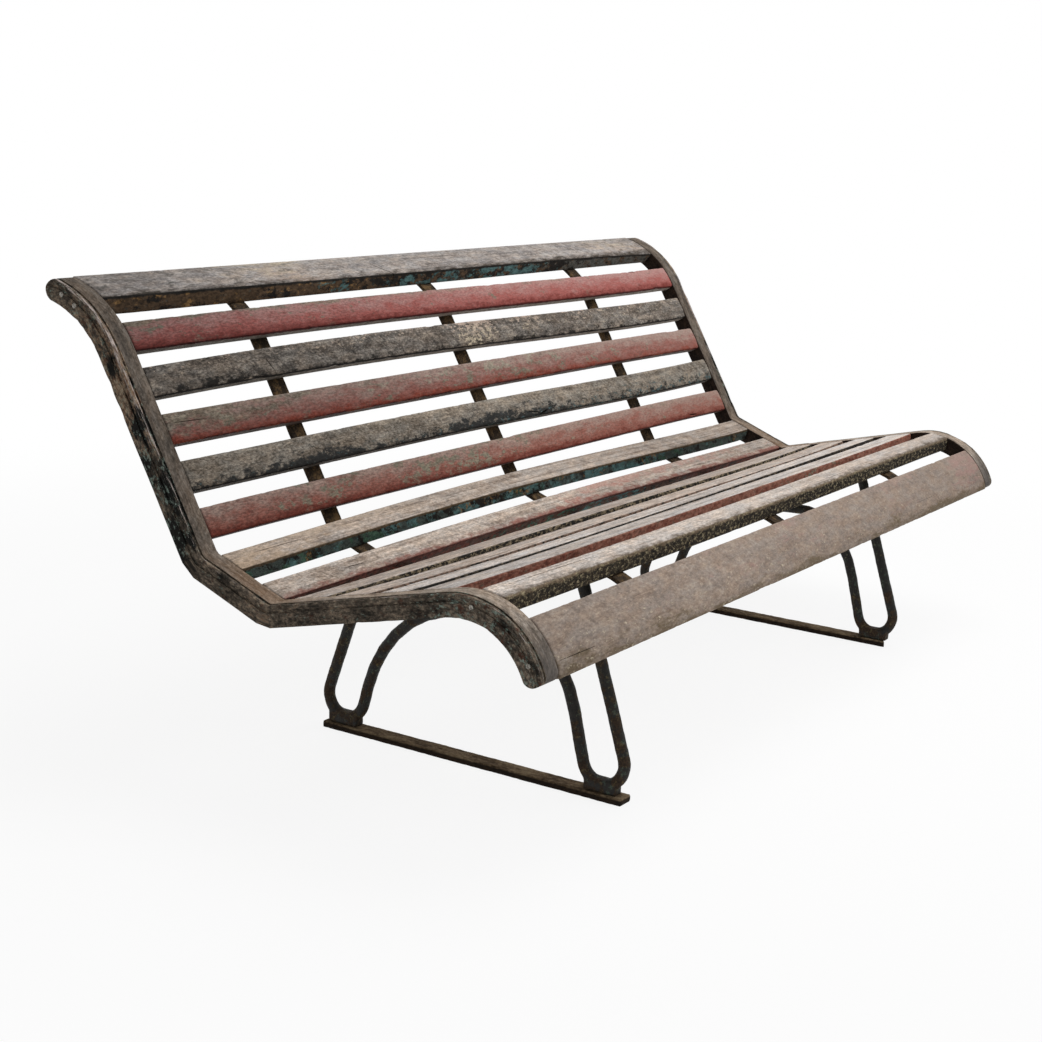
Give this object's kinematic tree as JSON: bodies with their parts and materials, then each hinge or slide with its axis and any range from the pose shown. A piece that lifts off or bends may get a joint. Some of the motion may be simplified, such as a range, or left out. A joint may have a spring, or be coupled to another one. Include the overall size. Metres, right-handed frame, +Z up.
{
  "type": "park bench",
  "caption": "Reclined park bench: weathered red and grey slats in an S-curve between beaded wooden end frames, held by iron straps on hairpin legs bent from round bar.",
  "frame": {"origin": "on the ground, under the middle of the bench's bounding box", "axes": "+X along the bench to the right as its front is seen, +Y to the back, so a sitter faces -Y, +Z up"},
  "size_m": [1.8, 0.9088, 0.7407],
  "materials": {
    "grey_wood": "bare weathered wood with remains of dark paint",
    "red_wood": "worn red paint over weathered wood",
    "dark_wood": "dark flaking paint over wood, worn pale on the bead",
    "black_iron": "black paint on forged bar, rough",
    "rusty_iron": "brown rust on flat bar",
    "worn_steel": "dull worn fastener heads"
  },
  "bodies": {
    "root": {"top_rail": "grey_wood", "back_slat_1": "red_wood", "back_slat_2": "grey_wood", "back_slat_3": "red_wood", "back_slat_4": "grey_wood", "back_slat_5": "red_wood", "upper_chamfer_slat": "grey_wood", "lower_chamfer_slat": "red_wood", "seat_slat_1": "grey_wood", "seat_slat_2": "red_wood", "seat_slat_3": "grey_wood", "seat_slat_4": "red_wood", "front_slat": "grey_wood", "front_rail": "grey_wood", "left_end_frame": "dark_wood", "right_end_frame": "dark_wood", "left_strap": "rusty_iron", "middle_strap": "rusty_iron", "right_strap": "rusty_iron", "left_leg": "black_iron", "right_leg": "black_iron", "left_ground_bar": "rusty_iron", "right_ground_bar": "rusty_iron", "left_front_foot_rivet": "rusty_iron", "left_rear_foot_rivet": "rusty_iron", "right_front_foot_rivet": "rusty_iron", "right_rear_foot_rivet": "rusty_iron", "left_front_leg_bolt": "worn_steel", "left_rear_leg_bolt": "worn_steel", "right_front_leg_bolt": "worn_steel", "right_rear_leg_bolt": "worn_steel", "left_top_nail_1": "worn_steel", "left_top_nail_2": "worn_steel", "left_front_slat_nail": "worn_steel", "left_front_rail_nail": "worn_steel", "right_top_nail_1": "worn_steel", "right_top_nail_2": "worn_steel", "right_front_slat_nail": "worn_steel", "right_front_rail_nail": "worn_steel"}
  },
  "joints": []
}
